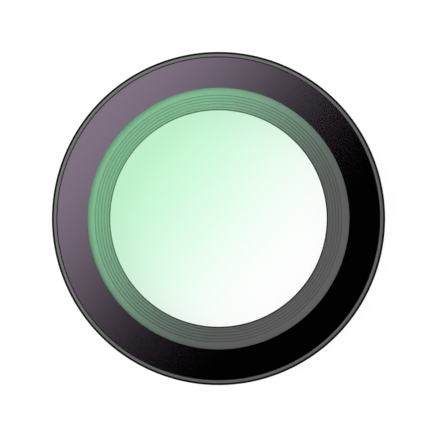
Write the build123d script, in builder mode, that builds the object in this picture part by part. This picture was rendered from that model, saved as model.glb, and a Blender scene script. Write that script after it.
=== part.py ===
from build123d import *

import os

# Screw-in ultraviolet filter for a small wide-angle camera.
# A turned aluminium frame carries one flush optical glass. The glass has a black printed border that
# hides the glue line, and is bonded to a shelf in the frame. Seen through the clear middle, the frame
# steps down to the clear aperture in a ring of fine anti-glare steps. Behind the flange a threaded
# spigot screws into the camera, and a seal ring sits at its root.
# The frame stands on the end of its spigot: Z is the optical axis, the glass faces +Z, and the origin
# is the centre of the spigot's end face. All sizes are in millimetres.

os.makedirs("parts", exist_ok=True)

# Threaded spigot and the bore behind the glass
thread_radius = 17.0
thread_entry_chamfer = 0.30
spigot_wall = 1.60
spigot_length = 2.60
relief_depth = 0.35
relief_length = 0.45
lens_bore_depth = 3.10
lens_bore_chamfer = 0.20

# Flange and its grip
flange_overhang = 2.25
rear_bead_height = 0.50
front_bead_height = 1.40
grip_waist_depth = 0.10
grip_groove_count = 100
grip_groove_depth = 0.22
grip_groove_width = 0.48
rear_edge_chamfer = 0.20

# Rim that stands round the glass
rim_width = 0.54
rim_outer_chamfer = 0.22
rim_inner_chamfer = 0.04
rim_stands_proud = 0.10

# Glass, its printed border and the bond under it
glass_thickness = 1.10
glass_edge_gap = 0.06
glass_bevel = 0.04
print_thickness = 0.05
print_edge_margin = 0.05
print_width = 3.48
bond_thickness = 0.10
bond_margin = 0.15
seat_rise = 0.25
seat_hidden_width = 0.10

# Plain band and anti-glare steps, from the printed border inwards to the clear aperture
plain_band_width = 0.81
step_count = 5
step_pitch = 0.34
step_drop = 0.22
step_draft_width = 0.10
lip_thickness = 0.55

# Flat rubber seal ring at the spigot's root
seal_width = 1.00
seal_thickness = 1.00
seal_chamfer = 0.20
seal_stands_proud = 0.25
seal_side_gap = 0.05
seal_groove_spare_width = 0.25

# Radii that follow from the sizes above
outer_radius = thread_radius + flange_overhang
lens_bore_radius = thread_radius - spigot_wall
relief_radius = thread_radius - relief_depth
recess_radius = outer_radius - rim_width
glass_radius = recess_radius - glass_edge_gap
print_outer_radius = glass_radius - print_edge_margin
print_inner_radius = print_outer_radius - print_width
seat_inner_radius = print_inner_radius + seat_hidden_width
top_step_radius = print_inner_radius - plain_band_width
aperture_radius = top_step_radius - step_draft_width - step_count * step_pitch
grip_radius = outer_radius - grip_waist_depth
seal_inner_radius = relief_radius + seal_side_gap
seal_outer_radius = seal_inner_radius + seal_width
seal_groove_radius = seal_outer_radius + seal_groove_spare_width

# Heights above the spigot's end face
seal_bottom = spigot_length - seal_stands_proud
seal_top = seal_bottom + seal_thickness
lowest_step_height = lens_bore_depth + lip_thickness
plain_band_height = lowest_step_height + step_count * step_drop
seat_height = plain_band_height + seat_rise
bond_top = seat_height + bond_thickness
glass_bottom = bond_top + print_thickness
glass_top = glass_bottom + glass_thickness
rim_height = glass_top + rim_stands_proud
grip_bottom = spigot_length + rear_bead_height
grip_top = rim_height - front_bead_height


def stepped_bore():
    """Foot and top of each sloped riser, from the clear aperture outwards and upwards."""
    points = []
    for step in range(step_count + 1):
        riser_foot = aperture_radius + step * step_pitch
        tread_height = lowest_step_height + step * step_drop
        points.append((riser_foot, tread_height - step_drop))
        points.append((riser_foot + step_draft_width, tread_height))
    return points


# Frame: one turned section, then the straight grip grooves
with BuildPart() as filter_frame:
    with BuildSketch(Plane.XZ):
        with BuildLine():
            Polyline(
                # rear bore up to the lip, then the stepped baffle
                (lens_bore_radius, lens_bore_chamfer),
                (lens_bore_radius, lens_bore_depth),
                (aperture_radius, lens_bore_depth),
                *stepped_bore(),
                # shelf for the bond, and the rim round the glass
                (seat_inner_radius, plain_band_height),
                (seat_inner_radius, seat_height),
                (recess_radius, seat_height),
                (recess_radius, rim_height - rim_inner_chamfer),
                (recess_radius + rim_inner_chamfer, rim_height),
                (outer_radius - rim_outer_chamfer, rim_height),
                (outer_radius, rim_height - rim_outer_chamfer),
                # smooth front bead, grip waist and rear bead
                (outer_radius, grip_top),
                (grip_radius, grip_top),
                (grip_radius, grip_bottom),
                (outer_radius, grip_bottom),
                (outer_radius, spigot_length + rear_edge_chamfer),
                (outer_radius - rear_edge_chamfer, spigot_length),
                # seat face, seal groove and thread relief
                (seal_groove_radius, spigot_length),
                (seal_groove_radius, seal_top),
                (relief_radius, seal_top),
                (relief_radius, spigot_length - relief_length),
                # spigot at the thread's major diameter
                (thread_radius, spigot_length - relief_length),
                (thread_radius, thread_entry_chamfer),
                (thread_radius - thread_entry_chamfer, 0),
                (lens_bore_radius + lens_bore_chamfer, 0),
                close=True,
            )
        make_face()
    revolve(axis=Axis.Z)
    with BuildSketch(Plane.XY.offset(grip_bottom)):
        with PolarLocations(grip_radius, grip_groove_count):
            Polygon(
                (-grip_groove_depth, 0),
                (grip_groove_depth, -grip_groove_width),
                (grip_groove_depth, grip_groove_width),
                align=None,
            )
    extrude(amount=grip_top - grip_bottom, mode=Mode.SUBTRACT)
filter_frame.part.label = "filter_frame"

# Glass: a plane-parallel disc with ground bevels
with BuildPart() as glass_disc:
    with BuildSketch(Plane.XY.offset(glass_bottom)):
        Circle(glass_radius)
    extrude(amount=glass_thickness)
    chamfer(glass_disc.edges().filter_by(GeomType.CIRCLE), length=glass_bevel)
glass_disc.part.label = "glass_disc"

# Black border printed on the back of the glass
with BuildPart() as border_print:
    with BuildSketch(Plane.XY.offset(bond_top)):
        Circle(print_outer_radius)
        Circle(print_inner_radius, mode=Mode.SUBTRACT)
    extrude(amount=print_thickness)
border_print.part.label = "border_print"

# Bond between the printed border and the frame's shelf
with BuildPart() as bond_ring:
    with BuildSketch(Plane.XY.offset(seat_height)):
        Circle(recess_radius - bond_margin)
        Circle(seat_inner_radius + bond_margin, mode=Mode.SUBTRACT)
    extrude(amount=bond_thickness)
bond_ring.part.label = "bond_ring"

# Seal ring in its groove, chamfered on the side that the camera presses
with BuildPart() as seal_ring:
    with BuildSketch(Plane.XY.offset(seal_bottom)):
        Circle(seal_outer_radius)
        Circle(seal_inner_radius, mode=Mode.SUBTRACT)
    extrude(amount=seal_thickness)
    chamfer(seal_ring.faces().sort_by(Axis.Z)[0].edges(), length=seal_chamfer)
seal_ring.part.label = "seal_ring"

for piece in (filter_frame, glass_disc, border_print, bond_ring, seal_ring):
    export_step(piece.part, f"parts/{piece.part.label}.step")
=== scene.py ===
import math

import bpy
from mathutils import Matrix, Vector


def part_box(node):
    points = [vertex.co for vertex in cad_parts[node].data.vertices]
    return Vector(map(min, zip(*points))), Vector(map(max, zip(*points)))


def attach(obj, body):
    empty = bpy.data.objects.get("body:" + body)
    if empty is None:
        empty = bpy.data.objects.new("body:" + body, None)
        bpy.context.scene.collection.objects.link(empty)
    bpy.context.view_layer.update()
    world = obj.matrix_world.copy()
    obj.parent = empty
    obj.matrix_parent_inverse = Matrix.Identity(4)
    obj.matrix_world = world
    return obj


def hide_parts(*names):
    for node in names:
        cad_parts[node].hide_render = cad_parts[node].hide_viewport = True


# Looks of a screw-in ultraviolet filter: a turned and anodised frame with a knurled grip, a stepped
# anti-glare baffle and a fine rear thread, one coated glass with a black printed border, and a seal ring.
# Pieces are drawn in millimetres round the optical axis, and brought to metres when they are finished.

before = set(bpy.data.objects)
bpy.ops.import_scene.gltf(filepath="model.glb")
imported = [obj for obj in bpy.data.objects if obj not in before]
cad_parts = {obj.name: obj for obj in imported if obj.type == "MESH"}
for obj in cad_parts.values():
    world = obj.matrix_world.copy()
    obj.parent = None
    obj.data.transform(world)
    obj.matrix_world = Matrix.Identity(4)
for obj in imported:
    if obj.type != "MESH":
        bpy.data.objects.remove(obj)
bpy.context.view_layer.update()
MM = 0.001


def radius_of(place):
    """Distance of a place from the optical axis."""
    return math.hypot(place.x, place.y)


def radii_of(node):
    """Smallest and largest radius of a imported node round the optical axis, in millimetres."""
    radii = [radius_of(point.co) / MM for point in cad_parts[node].data.vertices]
    return min(radii), max(radii)


def heights_of(node):
    """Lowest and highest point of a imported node, in millimetres."""
    low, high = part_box(node)
    return low.z / MM, high.z / MM


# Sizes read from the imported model
aperture_radius, outer_radius = radii_of("filter_frame")
glass_radius = radii_of("glass_disc")[1]
print_inner_radius = radii_of("border_print")[0]
seal_inner_radius, seal_outer_radius = radii_of("seal_ring")
rim_height = heights_of("filter_frame")[1]
glass_bottom, glass_top = heights_of("glass_disc")
seat_height = heights_of("bond_ring")[0]
seal_bottom, seal_top = heights_of("seal_ring")

# Frame: what its box and its neighbours' boxes don't give
thread_radius = 17.0
thread_entry_chamfer = 0.30
lens_bore_radius = 15.40
lens_bore_depth = 3.10
lens_bore_chamfer = 0.20
relief_radius = 16.65
relief_length = 0.45
seat_face_height = 2.60
seal_groove_radius = 17.95
rear_edge_chamfer = 0.20
grip_waist_depth = 0.10
rear_bead_height = 0.50
front_bead_height = 1.40
grip_radius = outer_radius - grip_waist_depth
grip_bottom = seat_face_height + rear_bead_height
grip_top = rim_height - front_bead_height
rim_outer_chamfer = 0.22
rim_inner_chamfer = 0.04
glass_edge_gap = 0.06
seat_hidden_width = 0.10
recess_radius = glass_radius + glass_edge_gap
seat_inner_radius = print_inner_radius + seat_hidden_width

# Anti-glare steps
step_count = 5
step_pitch = 0.34
step_drop = 0.22
riser_width = 0.10
lip_thickness = 0.55
first_tread_height = lens_bore_depth + lip_thickness

# Knurled grip: five columns of the turned mesh for each groove, and the first is pushed in
groove_count = 100
columns_per_groove = 5
groove_depth = 0.22
turning_steps = groove_count * columns_per_groove

# Rear thread
thread_pitch = 0.50
thread_depth = 0.27
thread_root_width = thread_pitch / 4
thread_flank = math.radians(30)
cutter_overhang = 0.03
cutter_start = -0.55
cutter_turns = 6

# Broken edges, and the angle under which shading runs smoothly over an edge
smooth_angle = math.radians(30)
break_segments = 2
sharp = 0.0
keen = 0.012
fine = 0.025
soft = 0.05

# Glass: its back stops short of the print by a film's gap
glass_bevel = 0.04
film_gap = 0.006
glass_sides = 360

# Seal ring
seal_chamfer = 0.20
seal_steps = 240

# How near a point must be to count as at a place, or as on the grip's waist
near_enough = 1e-4
near_waist = 1e-3

# Limits on the upward part of a face's normal
level_face = 0.99
nearly_level_face = 0.98
steep_face = 0.7

# Coating: a purple mirror sheen in front, painted purple sheen over the print and painted green reflection
# and tint behind, each growing towards the light between two distances
gradient_angle = math.radians(141)
sheen_from, sheen_to, sheen_power = -15.0, 20.0, 2.1
sheen_colour = (0.965, 0.77, 1.0)
# Painted sheen over the print: a purple matt film that stands in for the coating's reflection
painted_sheen_cover = 0.32
painted_sheen_colour = (0.735, 0.585, 0.76)
plain_sheen_colour = (0.8, 0.8, 0.8)
glass_refraction = 1.5
painted_film_roughness = 0.5
# Painted reflection behind: a green matt film and a green tint of what shows through, both growing towards
# the light
painted_reflection_from, painted_reflection_to, painted_reflection_power = -13.0, 16.0, 1.25
painted_reflection_cover = 0.25
painted_reflection_colour = (0.42, 0.97, 0.55)
painted_tint_from, painted_tint_to, painted_tint_power = -12.0, 13.0, 1.1
pale_tint, painted_green_tint = (0.955, 0.955, 0.955), (0.59, 0.94, 0.69)

# Painted light on the metal, lighter towards the light between two distances; texture of the metal and of the
# black finishes, with its sizes in millimetres
painted_light_from, painted_light_to = -13.0, 14.0
metal_grain_size, metal_cloud_size = 0.07, 2.5
grain_detail, cloud_detail, grain_noise = 2.0, 3.0, 0.55
turning_mark_spacing = 0.06
mark_detail, mark_noise = 3.0, 0.7
tone_spread = 0.06
roughness_spread = 0.05
ring_bump_strength, ring_bump_height = 0.25, 0.004
pit_bump_strength, pit_bump_height = 0.35, 0.006
black_cloud_size = 2.0
black_bump_strength, black_bump_height = 0.3, 0.005

# Studio: lengths in millimetres, but the camera's clip and the table's size and gap in metres
camera_lens = 1500.0
camera_sensor = 36.0
camera_clip_start, camera_clip_end = 0.01, 20.0
view_width = 50.46
table_size = 6.0
table_gap = 0.02 * MM
table_paint = 0.8
table_shadow_share = 0.22
table_glow = 0.92
card_height = 250.0
card_size = 120.0
card_strength = 0.6
dome_strength = 0.62
dome_seen_strength = 1.0
window_azimuth = math.radians(155)
window_height = math.radians(45)
window_spread = math.radians(50)
window_strength = 1.7


def deselect_all():
    """Leaves no object selected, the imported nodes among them."""
    bpy.ops.object.select_all(action="DESELECT")


def select_points(piece, wanted):
    """In edit mode, selects the points whose place passes the test, and no others."""
    bpy.ops.mesh.select_all(action="DESELECT")
    bpy.ops.object.mode_set(mode="OBJECT")
    for point in piece.data.vertices:
        point.select = wanted(point.co)
    bpy.ops.object.mode_set(mode="EDIT")


def near_corner(place, corner):
    """True if a point of a drawn section lies on that corner."""
    return math.hypot(place.x - corner[0], place.z - corner[1]) < near_enough


def start_piece(name, corner):
    """Adds a plane on the first corner of a section and shrinks it to one point, in edit mode."""
    deselect_all()
    bpy.ops.mesh.primitive_plane_add(size=1, location=(corner[0], 0, corner[1]))
    bpy.ops.object.transform_apply(location=True, rotation=True, scale=True)
    piece = bpy.context.object
    piece.name = name
    piece.data.name = name
    bpy.ops.object.mode_set(mode="EDIT")
    bpy.ops.mesh.select_mode(type="VERT")
    bpy.ops.mesh.select_all(action="SELECT")
    bpy.ops.mesh.merge(type="CENTER")
    return piece


def draw_section(name, corners):
    """Draws a closed section in the XZ plane, corner by corner, and breaks its edges."""
    piece = start_piece(name, corners[0])
    for here, there in zip(corners, corners[1:]):
        step = (there[0] - here[0], 0, there[1] - here[1])
        bpy.ops.mesh.extrude_vertices_move(TRANSFORM_OT_translate={"value": step})
    ends = (corners[0], corners[-1])
    select_points(piece, lambda place: any(near_corner(place, end) for end in ends))
    bpy.ops.mesh.edge_face_add()
    for edge_break in sorted({corner[2] for corner in corners} - {sharp}):
        broken = [corner for corner in corners if corner[2] == edge_break]
        select_points(piece, lambda place: any(near_corner(place, corner) for corner in broken))
        bpy.ops.mesh.bevel(offset=edge_break, segments=break_segments, affect="VERTICES", clamp_overlap=True)
    return piece


def spin_section(piece, steps):
    """Spins the section once round the optical axis, with no doubles at the seam and its faces outwards."""
    bpy.ops.mesh.select_all(action="SELECT")
    bpy.ops.mesh.spin(steps=steps, angle=math.tau, center=(0, 0, 0), axis=(0, 0, 1))
    bpy.ops.mesh.select_all(action="SELECT")
    bpy.ops.mesh.remove_doubles(threshold=near_enough)
    bpy.ops.mesh.normals_make_consistent(inside=False)
    bpy.ops.object.mode_set(mode="OBJECT")


def finish_piece(piece):
    """Brings a piece from millimetres to metres, with its place in its mesh, and smooths its shading."""
    deselect_all()
    piece.select_set(True)
    bpy.context.view_layer.objects.active = piece
    piece.scale = (MM, MM, MM)
    bpy.ops.object.transform_apply(location=True, rotation=True, scale=True)
    bpy.ops.object.shade_smooth_by_angle(angle=smooth_angle)


def dress(piece, *materials):
    """Gives a piece its materials, the first of them on every face."""
    piece.data.materials.clear()
    for material in materials:
        piece.data.materials.append(material)


def dress_faces(piece, slot, wanted):
    """Gives one material to the faces whose centre, in millimetres, and normal pass the test."""
    for face in piece.data.polygons:
        if wanted(face.center / MM, face.normal):
            face.material_index = slot


def stepped_bore():
    """Foot and top of each sloped riser, from the clear aperture outwards and upwards."""
    corners = []
    for step in range(step_count + 1):
        foot = aperture_radius + step * step_pitch
        tread_height = first_tread_height + step * step_drop
        corners.append((foot, tread_height - step_drop, sharp))
        corners.append((foot + riser_width, tread_height, keen if step else soft))
    return corners


def frame_section():
    """Corners of the frame's turned section: radius, height and edge break."""
    plain_band_height = first_tread_height + step_count * step_drop
    return [
        (lens_bore_radius, lens_bore_chamfer, fine),
        (lens_bore_radius, lens_bore_depth, soft),
        (aperture_radius, lens_bore_depth, fine),
        *stepped_bore(),
        (seat_inner_radius, plain_band_height, keen),
        (seat_inner_radius, seat_height, fine),
        (recess_radius, seat_height, fine),
        (recess_radius, rim_height - rim_inner_chamfer, keen),
        (recess_radius + rim_inner_chamfer, rim_height, keen),
        (outer_radius - rim_outer_chamfer, rim_height, fine),
        (outer_radius, rim_height - rim_outer_chamfer, soft),
        (outer_radius, grip_top, soft),
        (grip_radius, grip_top, sharp),
        (grip_radius, grip_bottom, sharp),
        (outer_radius, grip_bottom, soft),
        (outer_radius, seat_face_height + rear_edge_chamfer, soft),
        (outer_radius - rear_edge_chamfer, seat_face_height, fine),
        (seal_groove_radius, seat_face_height, soft),
        (seal_groove_radius, seal_top, soft),
        (relief_radius, seal_top, soft),
        (relief_radius, seat_face_height - relief_length, fine),
        (thread_radius, seat_face_height - relief_length, sharp),
        (thread_radius, thread_entry_chamfer, sharp),
        (thread_radius - thread_entry_chamfer, 0, fine),
        (lens_bore_radius + lens_bore_chamfer, 0, fine),
    ]


def cut_grip(piece):
    """Pushes one column in every few of the waist inwards, which leaves a ring of straight V grooves."""
    def at_groove(place):
        """True for a point of the waist whose column is pushed in."""
        column = round(math.atan2(place.y, place.x) / math.tau * turning_steps)
        on_waist = grip_bottom - near_waist < place.z < grip_top + near_waist
        at_waist_radius = abs(radius_of(place) - grip_radius) < near_waist
        return on_waist and at_waist_radius and column % columns_per_groove == 0

    bpy.ops.object.mode_set(mode="EDIT")
    select_points(piece, at_groove)
    inwards = (grip_radius - groove_depth) / grip_radius
    bpy.ops.transform.resize(value=(inwards, inwards, 1), center_override=(0, 0, 0))
    bpy.ops.object.mode_set(mode="OBJECT")


def thread_cutter():
    """A V-shaped helical tooth, from below the spigot up into its relief."""
    root_radius = thread_radius - thread_depth
    base_radius = thread_radius + cutter_overhang
    half_root = thread_root_width / 2
    half_base = half_root + (base_radius - root_radius) * math.tan(thread_flank)
    corners = [
        (root_radius, cutter_start - half_root, sharp),
        (root_radius, cutter_start + half_root, sharp),
        (base_radius, cutter_start + half_base, sharp),
        (base_radius, cutter_start - half_base, sharp),
    ]
    piece = draw_section("thread_cutter", corners)
    bpy.ops.object.mode_set(mode="OBJECT")
    helix = piece.modifiers.new("helix", "SCREW")
    helix.axis = "Z"
    helix.angle = math.tau
    helix.screw_offset = thread_pitch
    helix.iterations = cutter_turns
    helix.steps = turning_steps // 2
    helix.render_steps = turning_steps // 2
    helix.use_merge_vertices = False
    bpy.ops.object.modifier_apply(modifier=helix.name)
    bpy.ops.object.mode_set(mode="EDIT")
    bpy.ops.mesh.select_all(action="SELECT")
    bpy.ops.mesh.fill_holes(sides=4)
    bpy.ops.mesh.select_all(action="SELECT")
    bpy.ops.mesh.normals_make_consistent(inside=False)
    bpy.ops.object.mode_set(mode="OBJECT")
    return piece


def cut_away(piece, cutter):
    """Takes the cutter's volume out of the piece, and the cutter out of the scene."""
    deselect_all()
    piece.select_set(True)
    bpy.context.view_layer.objects.active = piece
    cut = piece.modifiers.new("cut", "BOOLEAN")
    cut.operation = "DIFFERENCE"
    cut.solver = "EXACT"
    cut.object = cutter
    bpy.ops.object.modifier_apply(modifier=cut.name)
    bpy.data.objects.remove(cutter)


def make_frame(grey, painted_shade_black, tread, riser):
    """The turned frame, with its knurled grip and its rear thread."""
    piece = draw_section("turned_frame", frame_section())
    spin_section(piece, turning_steps)
    cut_grip(piece)
    cut_away(piece, thread_cutter())
    finish_piece(piece)
    dress(piece, grey, painted_shade_black, tread, riser)
    painted_shade_slot, tread_slot, riser_slot = 1, 2, 3
    chamfer_bottom = rim_height - rim_outer_chamfer - soft
    chamfer_inner_radius = outer_radius - rim_outer_chamfer - fine
    baffle_bottom = lens_bore_depth + fine
    baffle_outer_radius = seat_inner_radius + fine
    top_step_radius = aperture_radius + step_count * step_pitch + riser_width
    lip_radius = aperture_radius + riser_width + soft
    # Painted shade: the rim's outer chamfer is near-black, a dark line where shade falls
    dress_faces(piece, painted_shade_slot, lambda place, normal: (
        place.z > chamfer_bottom and radius_of(place) > chamfer_inner_radius and normal.z < nearly_level_face
    ))
    # The baffle's treads and risers take metals with painted light
    dress_faces(piece, tread_slot, lambda place, normal: (
        place.z > baffle_bottom and radius_of(place) < baffle_outer_radius
    ))
    # Painted shade: the steep risers of the baffle take their darker metal
    dress_faces(piece, riser_slot, lambda place, normal: (
        place.z > baffle_bottom and radius_of(place) < top_step_radius and normal.z < steep_face
    ))
    # Painted shade: the lip's edge by the aperture is near-black, a dark shadow line
    dress_faces(piece, painted_shade_slot, lambda place, normal: (
        place.z > baffle_bottom and radius_of(place) < lip_radius and normal.z < nearly_level_face
    ))
    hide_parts("filter_frame")
    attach(piece, "root")


def select_level_faces(piece):
    """In edit mode, selects the faces that look straight up or down, and no others."""
    bpy.ops.mesh.select_mode(type="FACE")
    bpy.ops.mesh.select_all(action="DESELECT")
    bpy.ops.object.mode_set(mode="OBJECT")
    for face in piece.data.polygons:
        face.select = abs(face.normal.z) > level_face
    bpy.ops.object.mode_set(mode="EDIT")


def make_glass(front, painted_sheen_front, clear, painted_back, inked):
    """The glass disc: mirror-coated front, painted purple sheen over the print, painted green reflection in
    the middle of the back, and blackened ground edge.
    """
    thickness = glass_top - glass_bottom - film_gap
    deselect_all()
    bpy.ops.mesh.primitive_cylinder_add(
        vertices=glass_sides, radius=glass_radius, depth=thickness, location=(0, 0, glass_top - thickness / 2)
    )
    bpy.ops.object.transform_apply(location=True, rotation=True, scale=True)
    piece = bpy.context.object
    piece.name = "coated_glass"
    bpy.ops.object.mode_set(mode="EDIT")
    select_level_faces(piece)
    bpy.ops.mesh.bevel(offset=glass_bevel, segments=1, affect="EDGES")
    select_level_faces(piece)
    # The inset parts each glass face into a ring over the print and a middle centred on the axis
    bpy.ops.mesh.inset(thickness=glass_radius - glass_bevel - print_inner_radius)
    bpy.ops.object.mode_set(mode="OBJECT")
    finish_piece(piece)
    dress(piece, inked, front, clear, painted_back, painted_sheen_front)
    front_slot, clear_slot, painted_back_slot, painted_sheen_slot = 1, 2, 3, 4
    middle_radius = print_inner_radius / 2
    dress_faces(piece, front_slot, lambda place, normal: normal.z > level_face)
    # The ring over the print takes the front with painted purple sheen
    dress_faces(piece, painted_sheen_slot, lambda place, normal: (
        normal.z > level_face and radius_of(place) > middle_radius
    ))
    dress_faces(piece, clear_slot, lambda place, normal: normal.z < -level_face)
    # The middle of the back takes the painted green reflection
    dress_faces(piece, painted_back_slot, lambda place, normal: (
        normal.z < -level_face and radius_of(place) < middle_radius
    ))
    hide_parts("glass_disc")
    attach(piece, "root")


def make_seal(rubber):
    """The flat seal ring, chamfered on the side that the camera presses."""
    corners = [
        (seal_inner_radius, seal_bottom + seal_chamfer, soft),
        (seal_inner_radius, seal_top, fine),
        (seal_outer_radius, seal_top, fine),
        (seal_outer_radius, seal_bottom + seal_chamfer, soft),
        (seal_outer_radius - seal_chamfer, seal_bottom, soft),
        (seal_inner_radius + seal_chamfer, seal_bottom, soft),
    ]
    piece = draw_section("seal_ring_rubber", corners)
    spin_section(piece, seal_steps)
    finish_piece(piece)
    dress(piece, rubber)
    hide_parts("seal_ring")
    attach(piece, "root")


def add_node(tree, kind, settings=(), **values):
    """Adds a node and sets its properties and, with _ for each space, its inputs by name."""
    node = tree.nodes.new(kind)
    for name, value in dict(settings).items():
        setattr(node, name, value)
    for name, value in values.items():
        node.inputs[name.replace("_", " ")].default_value = value
    return node


def new_material(name):
    """A new material with only its output node."""
    material = bpy.data.materials.new(name)
    material.use_nodes = True
    material.node_tree.nodes.clear()
    output = material.node_tree.nodes.new("ShaderNodeOutputMaterial")
    return material, material.node_tree, output


def new_group(name, inputs, outputs):
    """A node group with float inputs, given with their usual values, and float outputs."""
    group = bpy.data.node_groups.new(name, "ShaderNodeTree")
    for label, usual in inputs.items():
        socket = group.interface.new_socket(label, in_out="INPUT", socket_type="NodeSocketFloat")
        socket.default_value = usual
    for label in outputs:
        group.interface.new_socket(label, in_out="OUTPUT", socket_type="NodeSocketFloat")
    return group, group.nodes.new("NodeGroupInput"), group.nodes.new("NodeGroupOutput")


def place_group(tree, group, **values):
    """Places a node group in a material with its own values."""
    return add_node(tree, "ShaderNodeGroup", {"node_tree": group}, **values)


def blasted_grain_group():
    """Fine even pits of a bead-blasted surface, and a slow unevenness of its tone."""
    usual = {"Grain size": 0.06, "Cloud size": 3.0}
    group, inputs, outputs = new_group("blasted grain", usual, ("Height", "Tone"))
    place = add_node(group, "ShaderNodeTexCoord")
    layers = (("Grain size", "Height", grain_detail), ("Cloud size", "Tone", cloud_detail))
    for label, output, detail in layers:
        size = add_node(group, "ShaderNodeMath", {"operation": "DIVIDE"})
        size.inputs[0].default_value = 1 / MM
        noise = add_node(group, "ShaderNodeTexNoise", Detail=detail, Roughness=grain_noise)
        group.links.new(inputs.outputs[label], size.inputs[1])
        group.links.new(place.outputs["Object"], noise.inputs["Vector"])
        group.links.new(size.outputs[0], noise.inputs["Scale"])
        group.links.new(noise.outputs["Fac"], outputs.inputs[output])
    return group


def turning_marks_group():
    """Fine rings that a lathe leaves: they follow the radius on a face, and the height on a wall."""
    group, inputs, outputs = new_group("turning marks", {"Spacing": 0.05}, ("Height",))
    place = add_node(group, "ShaderNodeTexCoord")
    parts = add_node(group, "ShaderNodeSeparateXYZ")
    flat = add_node(group, "ShaderNodeCombineXYZ")
    radius = add_node(group, "ShaderNodeVectorMath", {"operation": "LENGTH"})
    along = add_node(group, "ShaderNodeMath", {"operation": "ADD"})
    scale = add_node(group, "ShaderNodeMath", {"operation": "DIVIDE"})
    scale.inputs[0].default_value = 1 / MM
    along_line = {"noise_dimensions": "1D"}
    rings = add_node(group, "ShaderNodeTexNoise", along_line, Detail=mark_detail, Roughness=mark_noise)
    group.links.new(place.outputs["Object"], parts.inputs[0])
    group.links.new(parts.outputs["X"], flat.inputs["X"])
    group.links.new(parts.outputs["Y"], flat.inputs["Y"])
    group.links.new(flat.outputs[0], radius.inputs[0])
    group.links.new(radius.outputs["Value"], along.inputs[0])
    group.links.new(parts.outputs["Z"], along.inputs[1])
    group.links.new(inputs.outputs["Spacing"], scale.inputs[1])
    group.links.new(along.outputs[0], rings.inputs["W"])
    group.links.new(scale.outputs[0], rings.inputs["Scale"])
    group.links.new(rings.outputs["Fac"], outputs.inputs["Height"])
    return group


def slanted_gradient_group():
    """A smooth rise from 0 to 1 along the light's direction, between two distances in millimetres."""
    usual = {"From": -13.0, "To": 16.0, "Power": 1.0}
    group, inputs, outputs = new_group("slanted gradient", usual, ("Share",))
    place = add_node(group, "ShaderNodeTexCoord")
    turned = add_node(group, "ShaderNodeMapping", {"vector_type": "POINT"})
    turned.inputs["Rotation"].default_value = (0, 0, -gradient_angle)
    turned.inputs["Scale"].default_value = (1 / MM, 1 / MM, 1 / MM)
    parts = add_node(group, "ShaderNodeSeparateXYZ")
    rise = add_node(group, "ShaderNodeMapRange", {"interpolation_type": "SMOOTHSTEP"})
    power = add_node(group, "ShaderNodeMath", {"operation": "POWER"})
    group.links.new(place.outputs["Object"], turned.inputs["Vector"])
    group.links.new(turned.outputs[0], parts.inputs[0])
    group.links.new(parts.outputs["X"], rise.inputs["Value"])
    group.links.new(inputs.outputs["From"], rise.inputs["From Min"])
    group.links.new(inputs.outputs["To"], rise.inputs["From Max"])
    group.links.new(rise.outputs["Result"], power.inputs[0])
    group.links.new(inputs.outputs["Power"], power.inputs[1])
    group.links.new(power.outputs[0], outputs.inputs["Share"])
    return group


def colour_mix(tree, share, first, second):
    """A mix of two colours by a socket that varies over the surface."""
    mix = add_node(tree, "ShaderNodeMix", {"data_type": "RGBA"})
    first_colour, second_colour, mixed_colour = 6, 7, 2
    mix.inputs[first_colour].default_value = (*first, 1)
    mix.inputs[second_colour].default_value = (*second, 1)
    tree.links.new(share, mix.inputs[0])
    return mix.outputs[mixed_colour]


def vary_tone(tree, colour, tone, spread):
    """Multiplies a colour by a slow unevenness of its tone."""
    level = add_node(tree, "ShaderNodeMapRange")
    level.inputs["To Min"].default_value = 1.0 - spread
    level.inputs["To Max"].default_value = 1.0 + spread
    product = add_node(tree, "ShaderNodeVectorMath", {"operation": "SCALE"})
    tree.links.new(tone, level.inputs["Value"])
    tree.links.new(colour, product.inputs[0])
    tree.links.new(level.outputs["Result"], product.inputs["Scale"])
    return product.outputs[0]


def turned_metal(name, shade_side, painted_light_side, roughness, metallic, specular, rise):
    """Anodised aluminium: blasted grain over faint turning marks, with painted light: lighter towards the
    light.
    """
    material, tree, output = new_material(name)
    surface = add_node(tree, "ShaderNodeBsdfPrincipled", Metallic=metallic, Roughness=roughness)
    surface.inputs["Specular IOR Level"].default_value = specular
    pits = place_group(tree, grain, Grain_size=metal_grain_size, Cloud_size=metal_cloud_size)
    rings = place_group(tree, marks, Spacing=turning_mark_spacing)
    # Painted light: the colour grows from the shade side to the light side along the light's direction
    slant = place_group(tree, gradient, From=painted_light_from, To=painted_light_to, Power=rise)
    colour = colour_mix(tree, slant.outputs["Share"], shade_side, painted_light_side)
    rough = add_node(tree, "ShaderNodeMapRange")
    rough.inputs["To Min"].default_value = roughness - roughness_spread
    rough.inputs["To Max"].default_value = roughness + roughness_spread
    ring_bump = add_node(tree, "ShaderNodeBump", Strength=ring_bump_strength, Distance=ring_bump_height * MM)
    pit_bump = add_node(tree, "ShaderNodeBump", Strength=pit_bump_strength, Distance=pit_bump_height * MM)
    toned = vary_tone(tree, colour, pits.outputs["Tone"], tone_spread)
    tree.links.new(toned, surface.inputs["Base Color"])
    tree.links.new(pits.outputs["Tone"], rough.inputs["Value"])
    tree.links.new(rough.outputs["Result"], surface.inputs["Roughness"])
    tree.links.new(rings.outputs["Height"], ring_bump.inputs["Height"])
    tree.links.new(pits.outputs["Height"], pit_bump.inputs["Height"])
    tree.links.new(ring_bump.outputs["Normal"], pit_bump.inputs["Normal"])
    tree.links.new(pit_bump.outputs["Normal"], surface.inputs["Normal"])
    tree.links.new(surface.outputs[0], output.inputs["Surface"])
    return material


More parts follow.
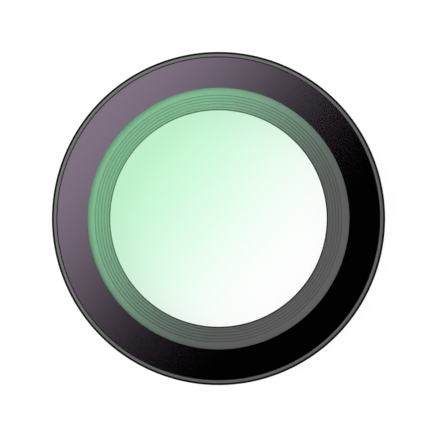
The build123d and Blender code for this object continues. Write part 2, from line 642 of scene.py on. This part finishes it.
def matt_black(name, dark, light, roughness, specular, grain_size):
    """A near-black film, lacquer or rubber with a fine grain."""
    material, tree, output = new_material(name)
    surface = add_node(tree, "ShaderNodeBsdfPrincipled", Roughness=roughness)
    surface.inputs["Specular IOR Level"].default_value = specular
    pits = place_group(tree, grain, Grain_size=grain_size, Cloud_size=black_cloud_size)
    bump = add_node(tree, "ShaderNodeBump", Strength=black_bump_strength, Distance=black_bump_height * MM)
    tree.links.new(colour_mix(tree, pits.outputs["Tone"], dark, light), surface.inputs["Base Color"])
    tree.links.new(pits.outputs["Height"], bump.inputs["Height"])
    tree.links.new(bump.outputs["Normal"], surface.inputs["Normal"])
    tree.links.new(surface.outputs[0], output.inputs["Surface"])
    return material


def front_reflection(tree):
    """Share of light that a glass face mirrors when it is met from outside."""
    mirror = add_node(tree, "ShaderNodeFresnel", IOR=glass_refraction)
    side = add_node(tree, "ShaderNodeNewGeometry")
    outside = add_node(tree, "ShaderNodeMath", {"operation": "SUBTRACT"})
    outside.inputs[0].default_value = 1.0
    share = add_node(tree, "ShaderNodeMath", {"operation": "MULTIPLY"})
    tree.links.new(side.outputs["Backfacing"], outside.inputs[1])
    tree.links.new(mirror.outputs[0], share.inputs[0])
    tree.links.new(outside.outputs[0], share.inputs[1])
    return share.outputs[0]


def lets_lamps_through(tree, seen, output):
    """Sends a see-through surface to the output, clear to the lamps' light."""
    path = add_node(tree, "ShaderNodeLightPath")
    open_to_light = add_node(tree, "ShaderNodeBsdfTransparent")
    choice = add_node(tree, "ShaderNodeMixShader")
    tree.links.new(path.outputs["Is Shadow Ray"], choice.inputs[0])
    tree.links.new(seen, choice.inputs[1])
    tree.links.new(open_to_light.outputs[0], choice.inputs[2])
    tree.links.new(choice.outputs[0], output.inputs["Surface"])


def mirrored(tree, under, colour):
    """A see-through surface with the glass's mirror sheen over it."""
    sheen = add_node(tree, "ShaderNodeBsdfAnisotropic", {"distribution": "GGX"}, Roughness=0.0)
    sheen.inputs["Color"].default_value = (*colour, 1)
    face = add_node(tree, "ShaderNodeMixShader")
    tree.links.new(front_reflection(tree), face.inputs[0])
    tree.links.new(under.outputs[0], face.inputs[1])
    tree.links.new(sheen.outputs[0], face.inputs[2])
    return face


def painted_reflection_film(tree, under, share, cover, colour):
    """A see-through surface with painted reflection over it: a thin matt film, denser towards the light."""
    density = add_node(tree, "ShaderNodeMath", {"operation": "MULTIPLY"})
    density.inputs[1].default_value = cover
    film = add_node(tree, "ShaderNodeBsdfPrincipled", Base_Color=(*colour, 1), Roughness=painted_film_roughness)
    film.inputs["Specular IOR Level"].default_value = 0.0
    face = add_node(tree, "ShaderNodeMixShader")
    tree.links.new(share, density.inputs[0])
    tree.links.new(density.outputs[0], face.inputs[0])
    tree.links.new(under.outputs[0], face.inputs[1])
    tree.links.new(film.outputs[0], face.inputs[2])
    return face


def coated_front(name, over_print):
    """Front of the glass: a purple mirror sheen, and over the black print a painted purple sheen as well,
    denser towards the light.
    """
    material, tree, output = new_material(name)
    under = add_node(tree, "ShaderNodeBsdfTransparent")
    if over_print:
        # Painted sheen: a purple film over the print, growing towards the light
        slant = place_group(tree, gradient, From=sheen_from, To=sheen_to, Power=sheen_power)
        under = painted_reflection_film(tree, under, slant.outputs["Share"], painted_sheen_cover, painted_sheen_colour)
    lets_lamps_through(tree, mirrored(tree, under, sheen_colour).outputs[0], output)
    return material


def painted_reflection_back():
    """Middle of the glass's back: a painted green reflection, as a green tint and a thin green film, both
    denser towards the light.
    """
    material, tree, output = new_material("glass back with painted green reflection")
    # Painted green reflection: a film and a tint, both growing towards the light
    slant = place_group(tree, gradient, From=painted_reflection_from, To=painted_reflection_to, Power=painted_reflection_power)
    painted_tint_share = place_group(tree, gradient, From=painted_tint_from, To=painted_tint_to, Power=painted_tint_power)
    tint = add_node(tree, "ShaderNodeBsdfTransparent")
    tree.links.new(colour_mix(tree, painted_tint_share.outputs["Share"], pale_tint, painted_green_tint), tint.inputs["Color"])
    face = painted_reflection_film(tree, tint, slant.outputs["Share"], painted_reflection_cover, painted_reflection_colour)
    lets_lamps_through(tree, face.outputs[0], output)
    return material


def clear_back():
    """Back of the glass over the print: clear, with a plain mirror sheen from outside."""
    material, tree, output = new_material("clear glass back")
    under = add_node(tree, "ShaderNodeBsdfTransparent")
    lets_lamps_through(tree, mirrored(tree, under, plain_sheen_colour).outputs[0], output)
    return material


def seen_as_white(tree):
    """True for rays that see the background: the camera's, and those through or off glass and metal."""
    path = add_node(tree, "ShaderNodeLightPath")
    either = add_node(tree, "ShaderNodeMath", {"operation": "MAXIMUM"})
    any_of_three = add_node(tree, "ShaderNodeMath", {"operation": "MAXIMUM"})
    tree.links.new(path.outputs["Is Camera Ray"], either.inputs[0])
    tree.links.new(path.outputs["Is Glossy Ray"], either.inputs[1])
    tree.links.new(either.outputs[0], any_of_three.inputs[0])
    tree.links.new(path.outputs["Is Transmission Ray"], any_of_three.inputs[1])
    return any_of_three.outputs[0]


def plain_grey(value):
    """An opaque grey of the given lightness."""
    return (value, value, value, 1)


def table_material():
    """A pale table: white to the eye, and it keeps a share of its shading so that shadows show."""
    material, tree, output = new_material("pale table")
    paint = add_node(tree, "ShaderNodeBsdfDiffuse", Color=plain_grey(table_paint))
    shade = add_node(tree, "ShaderNodeBsdfDiffuse", Color=plain_grey(table_shadow_share))
    glow = add_node(tree, "ShaderNodeEmission", Strength=table_glow)
    white = add_node(tree, "ShaderNodeAddShader")
    choice = add_node(tree, "ShaderNodeMixShader")
    tree.links.new(shade.outputs[0], white.inputs[0])
    tree.links.new(glow.outputs[0], white.inputs[1])
    tree.links.new(seen_as_white(tree), choice.inputs[0])
    tree.links.new(paint.outputs[0], choice.inputs[1])
    tree.links.new(white.outputs[0], choice.inputs[2])
    tree.links.new(choice.outputs[0], output.inputs["Surface"])
    return material


def card_material(spread):
    """The overhead light card: it glows on one side and falls off to black on the other."""
    material, tree, output = new_material("light card")
    fall = place_group(tree, gradient, From=sheen_from * spread, To=sheen_to * spread, Power=sheen_power)
    strength = add_node(tree, "ShaderNodeMath", {"operation": "MULTIPLY"})
    strength.inputs[1].default_value = card_strength
    glow = add_node(tree, "ShaderNodeEmission")
    tree.links.new(fall.outputs["Share"], strength.inputs[0])
    tree.links.new(strength.outputs[0], glow.inputs["Strength"])
    tree.links.new(glow.outputs[0], output.inputs["Surface"])
    return material


def add_table():
    """The floor, a hair under the filter, so that it shares no plane with the spigot's end."""
    deselect_all()
    bpy.ops.mesh.primitive_plane_add(size=table_size, location=(0, 0, -table_gap))
    table = bpy.context.object
    table.name = "table"
    dress(table, table_material())


def add_card(camera_distance):
    """A graded light card above the filter, which its glass mirrors."""
    spread = 1 + card_height / camera_distance
    deselect_all()
    bpy.ops.mesh.primitive_plane_add(size=card_size * MM, location=(0, 0, (glass_top + card_height) * MM))
    bpy.ops.object.transform_apply(location=True, rotation=True, scale=True)
    card = bpy.context.object
    card.name = "light_card"
    card.visible_camera = False
    dress(card, card_material(spread))


def add_dome():
    """Even soft light from all round, white to the eye."""
    world = bpy.data.worlds.new("soft dome")
    world.use_nodes = True
    tree = world.node_tree
    tree.nodes.clear()
    output = tree.nodes.new("ShaderNodeOutputWorld")
    sky = add_node(tree, "ShaderNodeBackground")
    strength = add_node(tree, "ShaderNodeMapRange")
    strength.inputs["To Min"].default_value = dome_strength
    strength.inputs["To Max"].default_value = dome_seen_strength
    tree.links.new(seen_as_white(tree), strength.inputs["Value"])
    tree.links.new(strength.outputs["Result"], sky.inputs["Strength"])
    tree.links.new(sky.outputs[0], output.inputs["Surface"])
    bpy.context.scene.world = world


def add_window():
    """A broad soft light from one side, which shades the steps of the baffle and the grip."""
    turn = (0, math.radians(90) - window_height, window_azimuth)
    bpy.ops.object.light_add(type="SUN", location=(0, 0, 1), rotation=turn)
    window = bpy.context.object
    window.data.energy = window_strength
    window.data.angle = window_spread


def add_camera(camera_distance):
    """A long lens, square above the glass."""
    bpy.ops.object.camera_add(location=(0, 0, (rim_height + camera_distance) * MM), rotation=(0, 0, 0))
    camera = bpy.context.object
    camera.data.lens = camera_lens
    camera.data.sensor_width = camera_sensor
    camera.data.clip_start = camera_clip_start
    camera.data.clip_end = camera_clip_end
    bpy.context.scene.camera = camera


grain = blasted_grain_group()
marks = turning_marks_group()
gradient = slanted_gradient_group()

# Metals with painted light, lighter on the side towards the light
grey = turned_metal(
    "grey anodised metal with painted light", shade_side=(0.118, 0.118, 0.118), painted_light_side=(0.195, 0.193, 0.196),
    roughness=0.38, metallic=0.3, specular=0.5, rise=1.0,
)
tread = turned_metal(
    "baffle tread metal with painted light", shade_side=(0.128, 0.126, 0.129), painted_light_side=(0.56, 0.63, 0.61),
    roughness=0.5, metallic=0.0, specular=0.2, rise=1.8,
)
# Painted shade: the risers are darker than the treads, as steep faces that catch less light
riser = turned_metal(
    "baffle riser metal with painted light and shade", shade_side=(0.10, 0.10, 0.10), painted_light_side=(0.43, 0.52, 0.485),
    roughness=0.6, metallic=0.0, specular=0.1, rise=3.0,
)
# Near-black painted shade for the rim's chamfer and the lip's edge
painted_shade_black = matt_black(
    "near-black for painted shade", dark=(0.002, 0.002, 0.002), light=(0.004, 0.004, 0.004),
    roughness=0.7, specular=0.05, grain_size=0.05,
)
bond = matt_black(
    "bond film", dark=(0.004, 0.004, 0.004), light=(0.008, 0.008, 0.008),
    roughness=0.6, specular=0.2, grain_size=0.04,
)
edge_ink = matt_black(
    "blackened glass edge", dark=(0.002, 0.002, 0.002), light=(0.004, 0.004, 0.004),
    roughness=0.7, specular=0.1, grain_size=0.03,
)
border_ink = matt_black(
    "border ink", dark=(0.0004, 0.0003, 0.0004), light=(0.001, 0.001, 0.001),
    roughness=0.6, specular=0.0, grain_size=0.05,
)
rubber = matt_black(
    "seal rubber", dark=(0.012, 0.012, 0.013), light=(0.022, 0.022, 0.023),
    roughness=0.6, specular=0.4, grain_size=0.12,
)

make_frame(grey, painted_shade_black, tread, riser)
plain_front = coated_front("coated glass front", over_print=False)
# Over the print the front carries a painted purple sheen as well
painted_sheen_front = coated_front("coated glass front with painted sheen over the print", over_print=True)
make_glass(plain_front, painted_sheen_front, clear_back(), painted_reflection_back(), edge_ink)
make_seal(rubber)
dress(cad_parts["border_print"], border_ink)
dress(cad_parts["bond_ring"], bond)

camera_distance = view_width * camera_lens / camera_sensor
add_table()
add_card(camera_distance)
add_dome()
add_window()
add_camera(camera_distance)
bpy.context.scene.view_settings.view_transform = "Standard"
